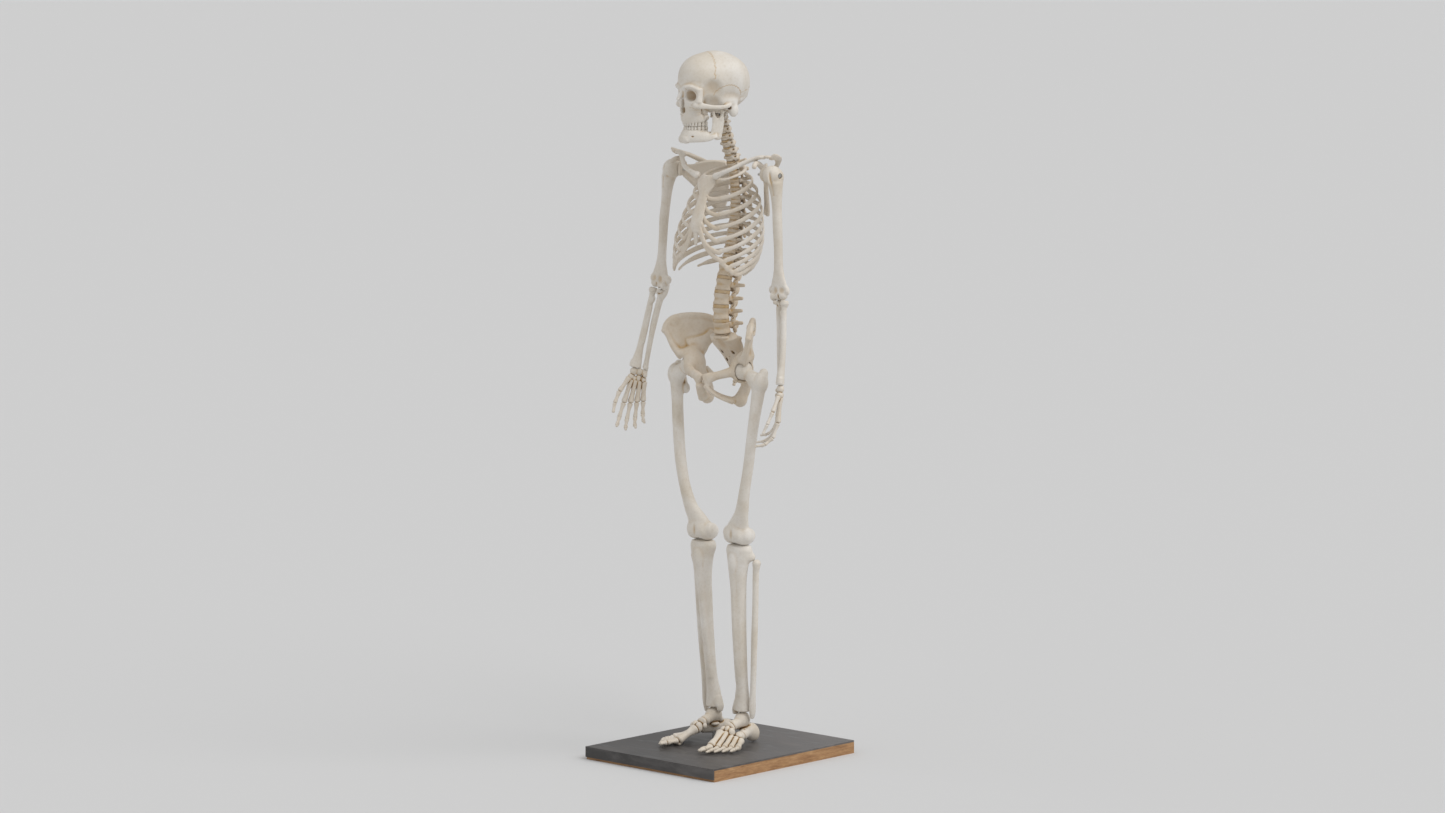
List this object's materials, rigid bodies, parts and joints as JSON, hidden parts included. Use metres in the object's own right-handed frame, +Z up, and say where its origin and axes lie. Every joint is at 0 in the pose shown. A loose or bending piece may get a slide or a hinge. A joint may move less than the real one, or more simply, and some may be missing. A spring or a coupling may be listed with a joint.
{
  "type": "human skeleton model",
  "caption": "Life-size human skeleton standing on a rectangular wooden board, with a turning head, opening jaw and jointed arms.",
  "frame": {"origin": "middle of the board's underside", "axes": "+Z up, the skeleton faces -Y, its left side is +X"},
  "size_m": [0.4993, 0.508, 1.732],
  "materials": {
    "ivory_plastic": "satin ivory bone-coloured PVC",
    "tan_plastic": "ivory PVC stained tan in its hollows",
    "cartilage_plastic": "flexible cream PVC",
    "steel": "plain steel rod",
    "wood": "oiled wood",
    "laminate": "dark grey-brown laminate, slightly worn"
  },
  "bodies": {
    "stand_and_trunk": {"base_board": "wood", "base_cover": "laminate", "sacrum": "tan_plastic", "lumbar_spine": "tan_plastic", "thoracic_spine": "tan_plastic", "cervical_spine": "tan_plastic", "spine_rod": "steel", "sternum_with_cartilage": "cartilage_plastic", "leg_rod_left": "steel", "shoulder_bolt_left": "steel", "tibia_left": "ivory_plastic", "fibula_left": "ivory_plastic", "femur_left": "ivory_plastic", "clavicle_left": "ivory_plastic", "scapula_left": "ivory_plastic", "foot_left": "tan_plastic", "hip_bone_left": "tan_plastic", "rib_01_left": "ivory_plastic", "rib_02_left": "ivory_plastic", "rib_03_left": "ivory_plastic", "rib_04_left": "ivory_plastic", "rib_05_left": "ivory_plastic", "rib_06_left": "ivory_plastic", "rib_07_left": "ivory_plastic", "rib_08_left": "ivory_plastic", "rib_09_left": "ivory_plastic", "rib_10_left": "ivory_plastic", "rib_11_left": "ivory_plastic", "rib_12_left": "ivory_plastic", "leg_rod_right": "steel", "shoulder_bolt_right": "steel", "tibia_right": "ivory_plastic", "fibula_right": "ivory_plastic", "femur_right": "ivory_plastic", "clavicle_right": "ivory_plastic", "scapula_right": "ivory_plastic", "foot_right": "tan_plastic", "hip_bone_right": "tan_plastic", "rib_01_right": "ivory_plastic", "rib_02_right": "ivory_plastic", "rib_03_right": "ivory_plastic", "rib_04_right": "ivory_plastic", "rib_05_right": "ivory_plastic", "rib_06_right": "ivory_plastic", "rib_07_right": "ivory_plastic", "rib_08_right": "ivory_plastic", "rib_09_right": "ivory_plastic", "rib_10_right": "ivory_plastic", "rib_11_right": "ivory_plastic", "rib_12_right": "ivory_plastic"},
    "skull": {"cranium": "ivory_plastic"},
    "jaw": {"mandible": "ivory_plastic"},
    "upper_arm_left": {"humerus_left": "ivory_plastic"},
    "forearm_left": {"ulna_left": "ivory_plastic", "radius_left": "ivory_plastic"},
    "hand_left": {"hand_left": "tan_plastic"},
    "upper_arm_right": {"humerus_right": "ivory_plastic"},
    "forearm_right": {"ulna_right": "ivory_plastic", "radius_right": "ivory_plastic"},
    "hand_right": {"hand_right": "tan_plastic"}
  },
  "joints": [
    {"name": "head_turn", "type": "hinge", "parent": "stand_and_trunk", "child": "skull", "pos_m": [0, -0.008, 1.582], "axis": [0, 0, 1], "range_deg": [-30, 62]},
    {"name": "jaw_opening", "type": "hinge", "parent": "skull", "child": "jaw", "pos_m": [-0.00479, -0.02116, 1.588], "axis": [0.9397, -0.342, 0], "range_deg": [0, 16], "stiffness_Nm_per_rad": 0.5, "springref_deg": -17.19},
    {"name": "shoulder_left_swing", "type": "hinge", "parent": "stand_and_trunk", "child": "upper_arm_left", "pos_m": [0.165, 0.006, 1.437], "axis": [-1, 0, 0], "range_deg": [-40, 130]},
    {"name": "elbow_left_bend", "type": "hinge", "parent": "upper_arm_left", "child": "forearm_left", "pos_m": [0.19028, 0.006, 1.1481], "axis": [-0.9962, 0, -0.0872], "range_deg": [-3, 110]},
    {"name": "wrist_left_bend", "type": "hinge", "parent": "forearm_left", "child": "hand_left", "pos_m": [0.20694, -0.00976, 0.92325], "axis": [-0.6774, 0.7329, -0.0628], "range_deg": [-50, 40]},
    {"name": "shoulder_right_swing", "type": "hinge", "parent": "stand_and_trunk", "child": "upper_arm_right", "pos_m": [-0.165, 0.006, 1.437], "axis": [-1, 0, 0], "range_deg": [-40, 130]},
    {"name": "elbow_right_bend", "type": "hinge", "parent": "upper_arm_right", "child": "forearm_right", "pos_m": [-0.21037, 0.006, 1.15057], "axis": [-0.9877, 0, 0.1564], "range_deg": [-8, 100]},
    {"name": "wrist_right_bend", "type": "hinge", "parent": "forearm_right", "child": "hand_right", "pos_m": [-0.24222, -0.03324, 0.93027], "axis": [-0.657, -0.7244, 0.2089], "range_deg": [-50, 40]}
  ]
}
